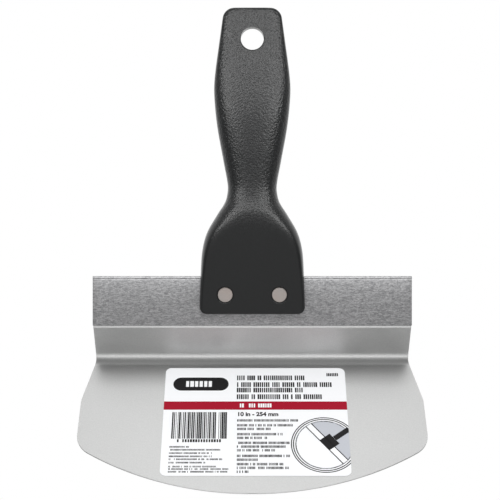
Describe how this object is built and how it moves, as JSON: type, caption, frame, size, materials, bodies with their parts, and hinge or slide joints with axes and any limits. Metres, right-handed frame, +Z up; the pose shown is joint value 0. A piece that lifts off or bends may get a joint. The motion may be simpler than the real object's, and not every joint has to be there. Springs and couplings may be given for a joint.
{
  "type": "drywall bucket scoop",
  "caption": "Scoop for taking drywall compound out of a bucket: a wide steel blade bent into a trough, held by a folded backbone strip riveted into a plastic handle.",
  "frame": {"origin": "centre of the hang hole, in the middle of the handle's thickness", "axes": "+Z up the handle, away from the blade; -Y the front, towards which the scoop comes forward; +X to the right seen from the front"},
  "size_m": [0.254, 0.0845, 0.3511],
  "materials": {
    "blade_steel": "bright cold-rolled steel with a fine rolling grain",
    "galvanised_strip": "galvanised steel with a fine mottled grain",
    "handle_plastic": "black moulded plastic, pebble grain on the grip and smooth on the cheeks",
    "rivet_metal": "satin flat rivet heads",
    "label_paper": "semi-gloss printed label with a crimson band"
  },
  "bodies": {
    "root": {"blade": "blade_steel", "backbone": "galvanised_strip", "handle": "handle_plastic", "left_rivet_barrel": "rivet_metal", "right_rivet_barrel": "rivet_metal", "left_rivet_pin": "rivet_metal", "right_rivet_pin": "rivet_metal", "label": "label_paper"}
  },
  "joints": []
}
